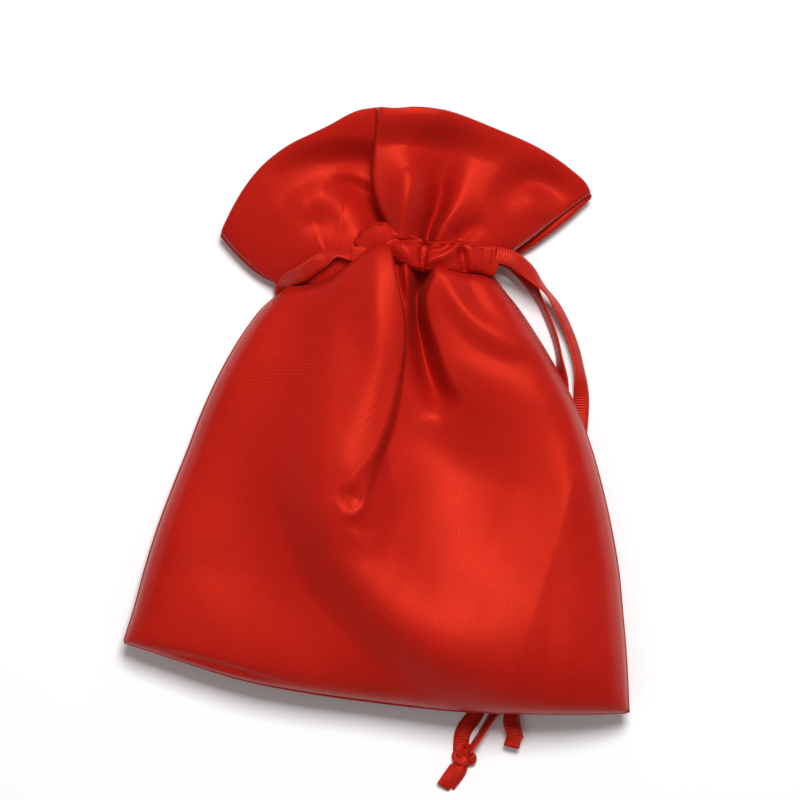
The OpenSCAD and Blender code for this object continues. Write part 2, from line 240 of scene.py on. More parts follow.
def ribbon(name, route, turns, widths=((0, 1), (1, 1)), bow=0.25):
    """A flat ribbon carried along a smooth curve through the route, in rings. Each ring is a rounded flat
    outline, turned about the line by the degrees that turns gives at its share of the way, narrowed by
    widths, and bowed by bow of its thickness. The line is raised to keep the ribbon off the table."""
    rough = through(route, np.linspace(0, 1, 400))
    length = np.linalg.norm(np.diff(rough, axis=0), axis=1).sum()
    t = np.linspace(0, 1, int(length / RING_STEP) + 2)
    line = through(route, t)
    turn = np.radians(np.interp(t, *np.transpose(turns)))
    turn = np.convolve(np.pad(turn, 4, mode="edge"), np.ones(9) / 9, mode="valid")
    half = RIBBON_W / 2 * np.interp(t, *np.transpose(widths))
    low = half * np.abs(np.sin(turn)) + RIBBON_T / 2 * np.abs(np.cos(turn)) + TABLE_GAP
    line[:, 2] = np.maximum(line[:, 2], low)
    ahead = np.gradient(line, axis=0)
    ahead /= np.linalg.norm(ahead, axis=1)[:, None]
    level = np.cross([0, 0, 1], ahead)
    level /= np.linalg.norm(level, axis=1)[:, None]
    up = np.cross(ahead, level)
    side = level * np.cos(turn)[:, None] + up * np.sin(turn)[:, None]
    face = np.cross(ahead, side)
    a = np.linspace(-1, 1, 9)
    across = np.concatenate([a, a[::-1]])
    fat = np.repeat([1, -1], len(a)) * (1 - 0.75 * np.abs(across) ** 8)
    lift = bow * (1 - across**2) * 2 - bow
    ring = (
        line[:, None]
        + side[:, None] * (across * half[:, None])[..., None]
        + face[:, None] * ((fat + lift) * RIBBON_T / 2)[None, :, None]
    )
    n = len(across)
    along = np.concatenate([[0], np.cumsum(np.linalg.norm(np.diff(line, axis=0), axis=1))])
    uv = np.stack(np.broadcast_arrays(across * RIBBON_W / 2, along[:, None]), -1).reshape(-1, 2)
    faces = steps_between(len(t), n, True)
    caps = [list(range(n))[::-1], list(range((len(t) - 1) * n, len(t) * n))]
    piece = make_piece(name, ring.reshape(-1, 3), [*faces, *caps], uv, satin_ribbon)
    return piece, line * MM


def overhand_knot(name, at, heading, size, tall):
    """A pulled-tight overhand knot: a flattened tube along a trefoil line, x = sin a + 2 sin 2a,
    y = cos a - 2 cos 2a, z = -sin 3a, squeezed to size and height, and turned to heading. The tube's
    width swells and narrows five times on its way round."""
    rings = 96
    ribbon_length = 22
    a = np.linspace(0, 2 * np.pi, rings + 1)[:-1]
    line = np.stack([np.sin(a) + 2 * np.sin(2 * a), np.cos(a) - 2 * np.cos(2 * a), -np.sin(3 * a)], -1)
    line *= [size[0] / 3, size[1] / 3, tall * 0.6]
    turn = math.radians(heading)
    c, s = math.cos(turn), math.sin(turn)
    line = line @ np.array([[c, s, 0], [-s, c, 0], [0, 0, 1]])
    ahead = np.roll(line, -1, 0) - np.roll(line, 1, 0)
    ahead /= np.linalg.norm(ahead, axis=1)[:, None]
    side = np.cross([0, 0, 1], ahead)
    side /= np.linalg.norm(side, axis=1)[:, None]
    up = np.cross(ahead, side)
    b = np.linspace(0, 2 * np.pi, 15)[:-1]
    pinch = 1 + 0.18 * np.sin(5 * a + 0.6)
    wide = 0.98 * pinch[:, None] * np.cos(b)
    thick = 0.5 * np.sin(b) * (1 + 0.25 * np.cos(3 * b))
    ring = line[:, None] + side[:, None] * wide[..., None] + up[:, None] * thick[None, :, None]
    points = ring.reshape(-1, 3)
    points = points - [0, 0, points[:, 2].min()] + [at[0], at[1], at[2]]
    along = np.linspace(0, ribbon_length, rings)[:, None]
    uv = np.stack(np.broadcast_arrays(wide, along), -1).reshape(-1, 2)
    m = len(b)
    faces = steps_between(rings, m, True)
    i = np.arange(m)
    k = (i + 1) % m
    last = (rings - 1) * m
    closing = np.stack([last + i, last + k, k, i], -1)
    piece = make_piece(name, points, np.concatenate([faces, closing]), uv, satin_ribbon)
    return piece


right_knot = overhand_knot("right_knot_tied", (20.6, -81.6, 0.1), -62, (2.5, 2.0), 1.1)
right_tail_a, _ = ribbon(
    "right_tail_upper", [(20.2, -82.6, 1.2), (18.8, -84.6, 1.4), (17.3, -86.8, 1.1), (15.6, -89.2, 0.8)],
    ((0, 30), (0.5, 8), (1, -18)), ((0, 0.6), (0.35, 0.95), (1, 0.92)),
)
right_tail_b, _ = ribbon(
    "right_tail_lower", [(20.8, -82.8, 0.8), (19.8, -84.9, 0.5), (18.4, -87, 0.35), (16.9, -88.9, 0.35)],
    ((0, 0), (1, 0)), ((0, 0.6), (0.4, 0.9), (1, 0.9)),
)
left_knot = overhand_knot("left_knot_tied", (31, -61, 0.9), 80, (2.2, 1.9), 0.8)
left_tail_a, _ = ribbon(
    "left_tail_upper",
    [
        (31, -62.5, 2.4), (32.2, -66, 2.4), (32.4, -70, 2.6), (31.6, -73.5, 2.8), (32.4, -76.6, 2.8),
        (31.8, -79.6, 2.5),
    ],
    ((0, 0), (0.55, 8), (0.7, -32), (0.85, 24), (1, -5)), ((0, 0.7), (0.3, 1), (0.8, 0.95), (1, 1)),
)
left_tail_b, _ = ribbon(
    "left_tail_lower",
    [(30.8, -62.5, 1.5), (31.4, -67, 1.5), (31.8, -71, 1.6), (32.2, -74.5, 1.6), (33, -77.9, 1.6)],
    ((0, 0), (0.6, -4), (0.8, 8), (1, 3)), ((0, 0.7), (0.3, 0.95), (1, 0.95)),
)

right_outer, right_outer_line = ribbon(
    "right_outer_ribbon",
    [
        (28, RIBBON_Y, 11.85), (31.5, 36, 11.2), (35, 33.6, 9.4), (38.6, 30, 7.2), (42, 25.6, 4.6),
        (45, 20, 2.2), (47.4, 13, 0.8), (48.4, 5, 0.35), (48, -5, 0.35), (46.4, -16, 0.35),
        (44, -28, 0.35), (41, -39, 0.35), (37.8, -49, 0.35), (34.8, -58, 0.35), (31.6, -66, 0.35),
        (27.6, -71.6, 0.35), (24.6, -76.4, 0.35), (21.6, -80.8, 0.6),
    ],
    (
        (0, -8), (0.06, -14), (0.115, -76), (0.16, -56), (0.28, -52), (0.34, 0), (0.86, 0), (0.92, 66),
        (1, 72),
    ),
)
right_inner, right_inner_line = ribbon(
    "right_inner_ribbon",
    [
        (28, RIBBON_Y, 3.55), (31.5, 35.6, 3.5), (34.8, 32.4, 3.2), (37.4, 28.2, 2.6), (40, 23, 1.6),
        (42.4, 16.5, 0.7), (43.6, 8.5, 0.35), (43, -2, 0.35), (41, -13, 0.35), (38.4, -24, 0.35),
        (35.6, -35, 0.35), (32.2, -46, 0.35), (28.8, -56, 0.35), (25.6, -65, 0.35), (23.4, -71.6, 0.35),
        (20.2, -76.6, 0.35), (19.8, -80.6, 0.6),
    ],
    ((0, 0), (0.06, 20), (0.12, 70), (0.24, 72), (0.31, 0), (0.93, 0), (1, 6)),
)
left_front, left_front_line = ribbon(
    "left_front_ribbon",
    [
        (-6, RIBBON_Y, 12.65), (-9.6, 37.2, 12.9), (-13.4, 35.2, 12.2), (-17.2, 32.8, 10.4),
        (-20.4, 31.2, 7.4), (-22.4, 29.4, 3.8), (-22.2, 27.4, 1.4), (-20, 24.6, 0.4),
        (-16.4, 15, 0.35), (-12.8, 4, 0.35),
        (-8.8, -8, 0.35), (-4.6, -20, 0.35), (0.4, -31, 0.35), (6.4, -41, 0.4), (13.4, -49, 0.7),
        (20.6, -55, 1.2), (29.4, -60.3, 1.7),
    ],
    ((0, 30), (0.03, 60), (0.06, -15), (0.1, -8), (0.17, 0), (1, 0)),
    ((0, 0.9), (0.03, 0.7), (0.06, 1), (1, 1)),
)
left_back, left_back_line = ribbon(
    "left_back_ribbon",
    [
        (-18, RIBBON_Y, 2.75), (-20.4, 35.8, 2.3), (-21, 33, 1.2), (-19, 29.6, 0.45), (-15, 25.4, 0.35),
        (-11, 15.4, 0.35), (-7, 4, 0.35), (-3, -8, 0.35), (1, -19, 0.35), (6, -30, 0.35),
        (12, -39.4, 0.4), (18.6, -46.4, 0.7), (24.6, -52.6, 1.3), (30.1, -59.3, 2.4),
    ],
    ((0, 0), (1, 0)),
)


def string_side(body, strand, node):
    """Attaches a strand to a body and hides the CAD part that it stands in for."""
    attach(strand, body)
    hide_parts(node)


for piece in (right_knot, right_tail_a, right_tail_b):
    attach(piece, "right_drawstring")
for piece in (left_knot, left_tail_a, left_tail_b):
    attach(piece, "left_drawstring")
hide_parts("right_knot")
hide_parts("right_tails")
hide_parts("left_knot")
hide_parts("left_tails")
string_side("right_drawstring", right_outer, "right_outer_strand")
string_side("right_drawstring", right_inner, "right_inner_strand")
string_side("left_drawstring", left_front, "left_front_strand")
string_side("left_drawstring", left_back, "left_back_strand")

# The lengths of ribbon inside the casings, one lying on the other. They show when a drawstring is pulled.
for name, body, node, runs in (
    ("right_run", "right_drawstring", "right_drawstring_run", ((-5, 28, 11.85), (-17, 28, 3.55))),
    ("left_run", "left_drawstring", "left_drawstring_run", ((-6, 27, 12.65), (-18, 27, 2.75))),
):
    for part, (x0, x1, z) in zip(("front", "back"), runs):
        run, _ = ribbon(
            f"{name}_{part}", [(x, RIBBON_Y, z) for x in np.linspace(x0, x1, 5)], ((0, 0), (1, 0)), bow=0
        )
        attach(run, body)
        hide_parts(node)


# ---- Body --------------------------------------------------------------------------------------------
# The front of the sack: one panel of polyester satin with its lining, cut 120 mm wide and sewn to the back
# along its sides and bottom. Drawing the neck leaves a long pleat down it and a valley on its right.
CLOTH_T = 0.8
SEAM_GAP = 0.05
SIDE_SEAM_Z = 5
BOTTOM_SEAM_Z = 7
NECK_RISE = 8.05
PUFF = 14

bottom_line = [
    (-59.7, -54.4), (-53, -56.6), (-45, -59.2), (-32, -63.2), (-17, -66.2), (0, -68.6), (18, -70.5),
    (35, -71.2), (48, -71.3), (59.3, -71),
]
left_line = [
    (-59.7, -54.4), (-57.3, -46.8), (-54.8, -37.4), (-51.9, -28), (-48.4, -18.5), (-44.6, -9), (-41, 0.4),
    (-36.6, 9.8), (-31, 19.2), (-27.4, 24), (-21.2, 29.4),
]
right_line = [
    (59.3, -71), (58.6, -56.3), (57.8, -46.8), (56.9, -37.4), (55.3, -28), (53.2, -18.5), (50.6, -9),
    (47.2, 0.4), (42.4, 9.8), (36.8, 19.2), (32.6, 25.4), (28.8, 29.9),
]
neck_line = [
    (-21.2, 29.4), (-14.6, 30.3), (-10.4, 32.5), (-5.9, 36.2), (-2, 39.2), (0.9, 40.7), (3, 39.9),
    (5.6, 38), (8.3, 36.8), (11.4, 36), (14.4, 35.4), (18.4, 34.2), (22.2, 33.4), (26.4, 31.9),
    (28.8, 29.9),
]


def bell(t):
    """A bell curve: 1 at t = 0, falling to 0.37 at t = 1."""
    return np.exp(-np.square(t))


def mix(a, b, t):
    """The value a share t of the way from a to b."""
    return a + (b - a) * t


def shares(rows, cols, crowd=0.0, middle=0.5):
    """A grid of shares v and u from 0 to 1. Columns are closer together round the middle by crowd."""
    s = np.linspace(0, 1, cols)
    wave = np.sin(2 * np.pi * (s - middle + 0.5)) - np.sin(2 * np.pi * (0.5 - middle))
    u = s + crowd * wave / (2 * np.pi)
    v = np.linspace(0, 1, rows)[:, None]
    return np.broadcast_to(v, (rows, cols)), np.broadcast_to(u, (rows, cols))


def patch(bottom, top, left, right, u, v):
    """A sheet stretched between four smooth edges: the left to right blend of the sides plus the bottom to
    top blend of the ends, less the blend of the four corners that both of them count."""
    b, t = through(bottom, u), through(top, u)
    l, r = through(left, v), through(right, v)
    u, v = u[..., None], v[..., None]
    below = mix(np.array(bottom[0]), np.array(bottom[-1]), u)
    above = mix(np.array(top[0]), np.array(top[-1]), u)
    flat = mix(b, t, v) + mix(l, r, u) - mix(below, above, v)
    return flat[..., 0], flat[..., 1]


def beside(path, x, y):
    """How far each point lies left (+) or right (-) of a smooth path seen from above, its share of the way
    along the path, and the direction to the left there."""
    line = through(path, np.linspace(0, 1, 70))
    start, step = line[:-1], np.diff(line, axis=0)
    shape = np.shape(x)
    px, py = np.ravel(x)[:, None] - start[:, 0], np.ravel(y)[:, None] - start[:, 1]
    share = np.clip((px * step[:, 0] + py * step[:, 1]) / (step**2).sum(1), 0, 1)
    gx, gy = px - share * step[:, 0], py - share * step[:, 1]
    far = gx * gx + gy * gy
    k = far.argmin(1)
    i = np.arange(len(k))
    d = step[k]
    side = np.where(d[:, 0] * gy[i, k] - d[:, 1] * gx[i, k] >= 0, 1.0, -1.0)
    n = d / np.linalg.norm(d, axis=1)[:, None]
    left = side * np.sqrt(far[i, k])
    t = (k + share[i, k]) / len(step)
    return left.reshape(shape), t.reshape(shape), -n[:, 1].reshape(shape), n[:, 0].reshape(shape)


def at_share(values, t):
    """A value given at equal shares of a path, read at share t off the straight lines between them, after a
    running mean as long as one of those lines has rounded them."""
    values = np.broadcast_to(values, max(2, np.size(values)))
    steps = 200
    share = np.linspace(0, 1, steps + 1)
    fine = np.interp(share, np.linspace(0, 1, len(values)), values)
    half = steps // 2 // (len(values) - 1)
    fine = np.pad(fine, half, mode="reflect", reflect_type="odd")
    fine = np.convolve(fine, np.full(2 * half + 1, 1 / (2 * half + 1)), mode="valid")
    return np.interp(t, share, fine)


def ridge(cloth, path, rise, width):
    """Raises the cloth in a bell curve over a path, or presses it down where rise is negative."""
    left, t, _, _ = beside(path, cloth[0], cloth[1])
    cloth[2] += at_share(rise, t) * bell(left / at_share(width, t))


def fold(cloth, path, drop, width, reach, lap=0.0, only=1.0):
    """A folded edge: right of the path the cloth drops within width and comes back up over reach. With lap
    the edge leans out over the drop. only is a share of it, point by point."""
    left, t, nx, ny = beside(path, cloth[0], cloth[1])
    h, w = at_share(drop, t) * only, at_share(width, t)
    s = -left
    sway = bell((s + 0.4 * w) / (0.8 * w)) - bell((s - 0.7 * w) / (0.8 * w))
    lean = lap * h / max(np.max(drop), 0.01) * sway
    cloth[0] -= lean * nx
    cloth[1] -= lean * ny
    cloth[2] -= h * ease(s / w + 0.5) * bell(np.maximum(s, 0) / at_share(reach, t))


def unevenness(x, y, size, seed, spread):
    """A gentle unevenness: twelve sine waves, 0.6 to 1.6 times spread long, added up. Their directions are
    drawn at random, the same each run."""
    waves, turn, usual_total = 12, 6.28, 3.5
    draw = np.random.default_rng(seed)
    total = np.zeros_like(x)
    for angle, phase, stretch in draw.random((waves, 3)):
        k = 2 * np.pi / (spread * (0.6 + stretch))
        total += np.sin(k * (x * math.cos(turn * angle) + y * math.sin(turn * angle)) + turn * phase)
    return size * total / usual_total


def sheet_mesh(name, cloth, thickness, material):
    """A closed sheet below a grid of points: the same grid moved back along its normals by the thickness,
    and a rounded rim between them. Its UV map is the distance along the cloth, from the middle column one
    way and from the first row the other."""
    top = np.stack(cloth, -1)
    rows, cols = top.shape[:2]
    normal = np.cross(np.gradient(top, axis=1), np.gradient(top, axis=0))
    normal /= np.maximum(np.linalg.norm(normal, axis=-1, keepdims=True), 1e-9)
    under = top - normal * thickness
    n = rows * cols
    index = np.arange(n).reshape(rows, cols)
    edge = np.concatenate([index[0, :-1], index[:-1, -1], index[-1, :0:-1], index[:0:-1, 0]])
    inner = np.concatenate([index[1, :-1], index[:-1, -2], index[-2, :0:-1], index[:0:-1, 1]])
    flat_top, flat_under = top.reshape(-1, 3), under.reshape(-1, 3)
    out = flat_top[edge] - flat_top[inner]
    out /= np.maximum(np.linalg.norm(out, axis=1), 1e-9)[:, None]
    middle = (flat_top[edge] + flat_under[edge]) / 2 + out * thickness * 0.45
    points = np.concatenate([flat_top, flat_under, middle])
    faces = steps_between(rows, cols, False)
    m = 2 * n + np.arange(len(edge))
    a, b, ma, mb = edge, np.roll(edge, -1), m, np.roll(m, -1)
    rim = np.concatenate([np.stack([a, ma, mb, b], -1), np.stack([ma, a + n, b + n, mb], -1)])
    faces = np.concatenate([faces, faces[:, ::-1] + n, rim])
    across = np.linalg.norm(np.diff(top, axis=1), axis=-1)
    along = np.linalg.norm(np.diff(top, axis=0), axis=-1)
    u = np.concatenate([np.zeros((rows, 1)), np.cumsum(across, 1)], 1)
    u -= u[:, cols // 2 : cols // 2 + 1]
    v = np.concatenate([np.zeros((1, cols)), np.cumsum(along, 0)], 0)
    uv = np.stack([u, v], -1).reshape(-1, 2)
    return make_piece(name, points, faces, np.concatenate([uv, uv, uv[edge]]), material)


# Red satin: polyester woven so that long threads lie over five others. It gives a broad silky light that
# turns deep crimson where the cloth faces away. The fine twill line is drawn 0.5 mm apart, coarser than the
# real 0.2 mm, so that it shows.
satin, tree, shader = new_material("red_polyester_satin")
place = add(tree, "ShaderNodeUVMap", uv_map="cloth")
to_mm = add(tree, "ShaderNodeMapping", [(place.outputs["UV"], "Vector")], scale=(1000, 1000, 1000))
twill_turn = add(
    tree, "ShaderNodeMapping", [(to_mm.outputs["Vector"], "Vector")], rotation=(0, 0, math.radians(63)),
)
twill = add(
    tree, "ShaderNodeTexWave", [(twill_turn.outputs["Vector"], "Vector")],
    bands_direction="X", scale=0.62, distortion=1.1, detail=2, detail_scale=1.2,
)
threads = add(
    tree, "ShaderNodeTexNoise", [(to_mm.outputs["Vector"], "Vector")], scale=1.6, detail=3, roughness=0.7,
)
clouds = add(tree, "ShaderNodeTexNoise", [(to_mm.outputs["Vector"], "Vector")], scale=0.045, detail=4)
dye = add(tree, "ShaderNodeValToRGB", [(clouds.outputs["Fac"], "Fac")])
dye.color_ramp.elements[0].color = linear("#a5160f")
dye.color_ramp.elements[0].position = 0.3
dye.color_ramp.elements[1].color = linear("#b31b12")
dye.color_ramp.elements[1].position = 0.7
weave_tone = add(tree, "ShaderNodeMapRange", [(twill.outputs["Fac"], "Value")], to_min=0.9, to_max=1.08)
speck_tone = add(
    tree, "ShaderNodeMapRange", [(threads.outputs["Fac"], "Value")],
    from_min=0.3, from_max=0.7, to_min=0.92, to_max=1.08,
)
tone = add(
    tree, "ShaderNodeMath", [(weave_tone.outputs["Result"], 0), (speck_tone.outputs["Result"], 1)],
    operation="MULTIPLY",
)
coloured = add(tree, "ShaderNodeVectorMath", [(dye.outputs["Color"], 0)], operation="SCALE")
tree.links.new(tone.outputs[0], coloured.inputs["Scale"])
tree.links.new(coloured.outputs["Vector"], shader.inputs["Base Color"])
gloss = add(
    tree, "ShaderNodeMapRange", [(threads.outputs["Fac"], "Value")],
    from_min=0.3, from_max=0.7, to_min=0.4, to_max=0.5,
)
tree.links.new(gloss.outputs["Result"], shader.inputs["Roughness"])
height = add(
    tree, "ShaderNodeMath", [(twill.outputs["Fac"], 0), (threads.outputs["Fac"], 1)], operation="ADD",
)
relief = add(tree, "ShaderNodeBump", [(height.outputs[0], "Height")], strength=0.22, distance=0.00008)
tree.links.new(relief.outputs["Normal"], shader.inputs["Normal"])
shader.inputs["Specular IOR Level"].default_value = 1.0
shader.inputs["Specular Tint"].default_value = linear("#ff4f34")
shader.inputs["Sheen Weight"].default_value = 0.05
shader.inputs["Sheen Roughness"].default_value = 0.35
shader.inputs["Sheen Tint"].default_value = linear("#ff7a5c")

v, u = shares(190, 205, crowd=0.3, middle=0.56)
x, y = patch(bottom_line, neck_line, left_line, right_line, u, v)
seam_z = mix(BOTTOM_SEAM_Z, SIDE_SEAM_Z, ease(v / 0.25))
# How high the cloth stands from its left side to its right one, as a share of its full rise.
arch_points = [
    (0, 0), (0.015, 0.3), (0.05, 0.5), (0.2, 0.72), (0.34, 0.93), (0.44, 1), (0.6, 1), (0.76, 0.95),
    (0.88, 0.82), (0.95, 0.62), (0.985, 0.36), (1, 0),
]
arch_line = through(arch_points, np.linspace(0, 1, 400))
arch = np.interp(u, arch_line[:, 0], arch_line[:, 1])
rise = PUFF * np.maximum(0, np.sin(np.pi * v**0.5)) ** 0.6 + NECK_RISE * ease(v) ** 1.6
front = [x.copy(), y.copy(), seam_z + SEAM_GAP + CLOTH_T + rise * arch]

# The puffed cloth stands proud in one broad curve from the pleat round to the lower right, and falls away
# outside it.
fold(
    front, [(-12, 26), (-15, 10), (-18, -6), (-18, -20), (-12.5, -37), (-1, -51), (15, -62), (36, -66)],
    drop=[0, 1, 1.8, 2.6, 3.6, 4, 2.6, 0], width=13, reach=26,
)
ridge(front, [(0, 38), (1, 25), (1, 12), (-2, 2), (-5, -8), (-7, -20)], [0.8, 1.6, 1.6, 1, 0.4, 0], 5)
ridge(front, [(-8, 22), (-12, 8), (-15, -6), (-15, -20), (-9, -34), (2, -47)], [0, 0.8, 1, 1, 0.8, 0.4], 9)
ridge(front, [(-8, -15), (-4, -30), (5, -45), (20, -54), (40, -56)], [3.8, 4.8, 5.4, 4.6, 1.6], 15)
ridge(front, [(-47, -40), (-36, -47)], 0.3, 9)
ridge(front, [(-56, -55.6), (-45, -57.6), (-32, -60.9), (-20, -64.4)], [0, -0.8, -0.8, 0], 0.8)
# The long pleat, folded over the valley beside it.
pleat_line = [
    (-3.4, -24), (-2.2, -20), (0.7, -10.3), (3.5, -2), (5.4, 7.4), (6.2, 14), (6.1, 20.2), (4.7, 30.1),
    (3, 39), (2, 46),
]
fold(
    front, pleat_line, drop=[0, 0.5, 1.3, 2.2, 3.4, 4.6, 5.4, 5.8, 5.8, 5],
    width=[1.6, 1.8, 2, 2.2, 2.2, 2.2, 2.2, 2.2, 2.2, 2.2], reach=[2, 4, 9, 13, 12, 8, 6, 5, 5, 5], lap=1.1,
)
ridge(
    front, [(9.6, 38), (10, 33), (9, 27), (8.9, 22), (9.8, 16), (11.5, 9), (14, 3.5), (18, -1)],
    [-5, -5.4, -5.6, -5.6, -5.4, -5, -3, 0], [1.4, 1.4, 1.5, 1.6, 1.8, 2.2, 2.8, 4],
)
# Right of the pleat the cloth is drawn down in a broad hollow, and fills out again below the dimple.
past_dimple = [(-16, -66), (-9, -42), *pleat_line]
right_of_pleat = ease(-beside(past_dimple, x, y)[0] / (3 + 14 * ease((-8 - y) / 16)) + 0.5)
fold(
    front, [(-24, 12), (0, 4.6), (24, -2.8), (48, -10.2)],
    drop=[0, 1.6, 3.6, 5.8, 7.4, 6.6, 3.4, 0], width=27, reach=40,
    only=np.maximum(right_of_pleat, ease((-20 - y) / 16)),
)
ridge(front, [(6.4, 36), (7.2, 28), (7.6, 24), (7.2, 19)], [2, 2.6, 2.2, 0], 1.0)
# The panel right of the valley rolls over at its edge, and is drawn into a curved fold towards its side.
fold(
    front, [(14, 39), (12.6, 32), (10.6, 27), (10.8, 22.5), (12.8, 15.6), (15.2, 8), (18.5, 1)],
    drop=[4, 5, 6, 6.4, 6, 4, 0], width=[2.4, 2.8, 3.4, 4.2, 4.6, 5, 6],
    reach=[3, 3, 3, 3.5, 4, 5, 6], lap=0.5,
)
fold(
    front, [(15.5, 36), (17.6, 27), (22, 20.5), (29, 15.4), (38, 13), (47, 12)],
    drop=[0, 1.4, 2.2, 2.2, 1.2, 0], width=8, reach=[8, 12, 24, 30, 30, 30],
)
ridge(front, [(16, 33), (18, 27), (22.4, 21), (29, 16), (37, 14)], [0.3, 0.9, 0.9, 0.6, 0], 3)
ridge(front, [(19.6, 35), (21.8, 28.5), (25, 23.5), (30, 20)], [-1.2, -1.3, -0.6, 0], 2.6)
# The pleat ends in a dimple.
ridge(front, [(-6.6, -19.4), (-5.8, -19.8)], -0.8, 2)
ridge(front, [(-1.2, -12), (-2.4, -18), (-3, -21.8), (-5, -23.6), (-9, -22.8)], [0, 0.5, 0.7, 0.5, 0], 1.2)
ridge(front, [(-8.5, -26), (-4.7, -26.8), (0, -29)], [0, -0.5, 0], 1.5)
front[2] += unevenness(x, y, 0.1, 3, 30) * arch + unevenness(x, y, 0.025, 4, 9) * arch
# Its top edge is tucked down under the casing.
TUCK = 3.2
TUCK_FROM = 0.965
TUCK_OVER = 0.035
front[2] -= TUCK * ease((v - TUCK_FROM) / TUCK_OVER) * arch
body_front = sheet_mesh("body_front_cloth", front, CLOTH_T, satin)
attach(body_front, "sack")
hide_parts("front_panel")

# The back of the sack: the same cut, resting on the table on three flat patches and lifted off the ribbons.
BACK_FEET = ((-34, -30, 13), (24, -36, 5), (16, 4, 9))
FOOT_RAMP = 6
LIFT = 1.6
v, u = shares(150, 160)
x, y = patch(bottom_line, neck_line, left_line, right_line, u, v)
seam_z = mix(BOTTOM_SEAM_Z, SIDE_SEAM_Z, ease(v / 0.25))
lifted = np.min([ease((np.hypot(x - fx, y - fy) - r) / FOOT_RAMP) for fx, fy, r in BACK_FEET], axis=0)
width = np.hypot(x[:, -1:] - x[:, :1], y[:, -1:] - y[:, :1])
side = ease(np.minimum(u, 1 - u) * width / 10)
up = ease((y - through(bottom_line, u)[..., 1]) / 24)
resting = LIFT * lifted * (1 + unevenness(x, y, 0.1, 7, 16))
back = [x, y, mix(seam_z - SEAM_GAP - CLOTH_T, resting, side * up) + CLOTH_T]
body_back = sheet_mesh("body_back_cloth", back, CLOTH_T, satin)
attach(body_back, "sack")
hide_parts("back_panel")


# ---- Casings -----------------------------------------------------------------------------------------
# The stitched channels across the neck that the ribbons run in, one on each face. Each is the same cloth
# doubled and sewn with two rows, then gathered up into puffs and deep creases by the ribbons.
CASING_RING = 40


def casing(name, path, half, low, tall, puffs, creases, face=1):
    """A flattened tube with a wall, carried along a path seen from above and open at both ends. Its outline
    is a squared ellipse that reaches half to each side of the path and tall up from low. Its face, 1 the
    upper and -1 the lower side, is raised by puffs and pressed in by creases: paths with heights and a
    width."""
    cols, ring_n = 150, CASING_RING
    wall = CLOTH_T * 0.6
    s = np.linspace(0, 1, cols)
    line = through(path, s)
    ahead = np.gradient(line[:, :2], axis=0)
    ahead /= np.linalg.norm(ahead, axis=1)[:, None]
    left = np.stack([-ahead[:, 1], ahead[:, 0]], -1)
    a = np.linspace(0, 2 * np.pi, ring_n, endpoint=False)
    shells = []
    for inset in (0, wall):
        w = at_share(half, s)[:, None] - inset
        h = at_share(tall, s)[:, None] / 2 - inset
        across = w * np.sign(np.cos(a)) * np.abs(np.cos(a)) ** 0.8
        z = at_share(low, s)[:, None] + at_share(tall, s)[:, None] / 2
        z = z + h * np.sign(np.sin(a)) * np.abs(np.sin(a)) ** 0.8
        band = [
            line[:, :1] + left[:, :1] * across,
            line[:, 1:2] + left[:, 1:2] * across,
            np.zeros_like(across),
        ]
        for way, rise, width in puffs:
            ridge(band, way, rise, width)
        for way, rise, width in creases:
            ridge(band, way, -np.asarray(rise), width)
        z = z + band[2] * ease(np.sin(a) * face + 0.2) * face
        shells.append(np.stack([band[0], band[1], z], -1).reshape(-1, 3))
    points = np.concatenate(shells)
    n = cols * ring_n
    outer = steps_between(cols, ring_n, True)
    i = np.arange(ring_n)
    k = (i + 1) % ring_n
    end = n - ring_n
    rims = np.concatenate([
        np.stack([i, k, k + n, i + n], -1)[:, ::-1],
        np.stack([i + end, k + end, k + end + n, i + end + n], -1),
    ])
    faces = np.concatenate([outer[:, ::-1], outer + n, rims[:, ::-1]])
    along = np.concatenate([[0], np.cumsum(np.linalg.norm(np.diff(line, axis=0), axis=1))])
    uv = np.stack(np.broadcast_arrays(along[:, None], a * 3), -1).reshape(-1, 2)
    piece = make_piece(name, points, faces, np.concatenate([uv, uv]), satin)
    return piece, shells[0].reshape(cols, ring_n, 3)


# Sewing thread: spun polyester, a shade darker than the cloth. Its twist gives slanting lines, drawn 0.6 mm
# apart along it, coarser than the real 0.4 mm or so, so that they show.
thread, tree, shader = new_material("dark_red_thread")
place = add(tree, "ShaderNodeUVMap", uv_map="cloth")
to_mm = add(tree, "ShaderNodeMapping", [(place.outputs["UV"], "Vector")], scale=(1000, 1000, 1000))
twist = add(
    tree, "ShaderNodeTexWave", [(to_mm.outputs["Vector"], "Vector")], bands_direction="DIAGONAL", scale=1.1,
)
tone = add(tree, "ShaderNodeValToRGB", [(twist.outputs["Fac"], "Fac")])
tone.color_ramp.elements[0].color = linear("#8f130d")
tone.color_ramp.elements[1].color = linear("#b01c13")
tree.links.new(tone.outputs["Color"], shader.inputs["Base Color"])
relief = add(tree, "ShaderNodeBump", [(twist.outputs["Fac"], "Height")], strength=0.6, distance=0.0001)
tree.links.new(relief.outputs["Normal"], shader.inputs["Normal"])
shader.inputs["Roughness"].default_value = 0.6
shader.inputs["Specular Tint"].default_value = linear("#ff5a40")


STITCH_LENGTH = 1.9
STITCH_PITCH = 2.7
THREAD_R = 0.2
UNSEWN_END = 1


